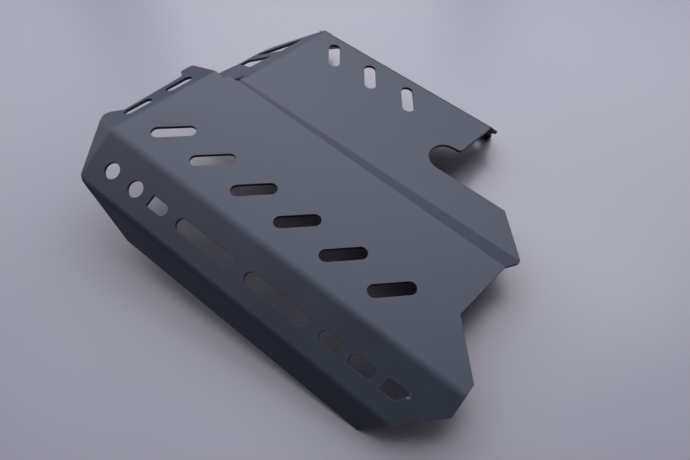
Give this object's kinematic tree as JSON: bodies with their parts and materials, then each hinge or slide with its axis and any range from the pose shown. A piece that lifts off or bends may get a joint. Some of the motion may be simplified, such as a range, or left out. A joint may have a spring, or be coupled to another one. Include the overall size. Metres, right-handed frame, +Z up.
{
  "type": "motorcycle skid plate",
  "caption": "Folded sheet-metal guard that bolts under a motorcycle engine, with cooling slots, a slanted front lip, an exhaust notch and a windowed side bracket.",
  "frame": {"origin": "centre of the bounding box's base: on the ground that the part rests on, midway along and across it", "axes": "+X along the front fold towards the exhaust-notch side, +Y from the lip to the rear edge, +Z up from the ground, with the road face up as in the picture"},
  "size_m": [0.4538, 0.3356, 0.0884],
  "materials": {
    "skid_plate": "fine matt powder coat, dark blue-grey"
  },
  "bodies": {
    "root": {"skid_plate": "skid_plate"}
  },
  "joints": []
}
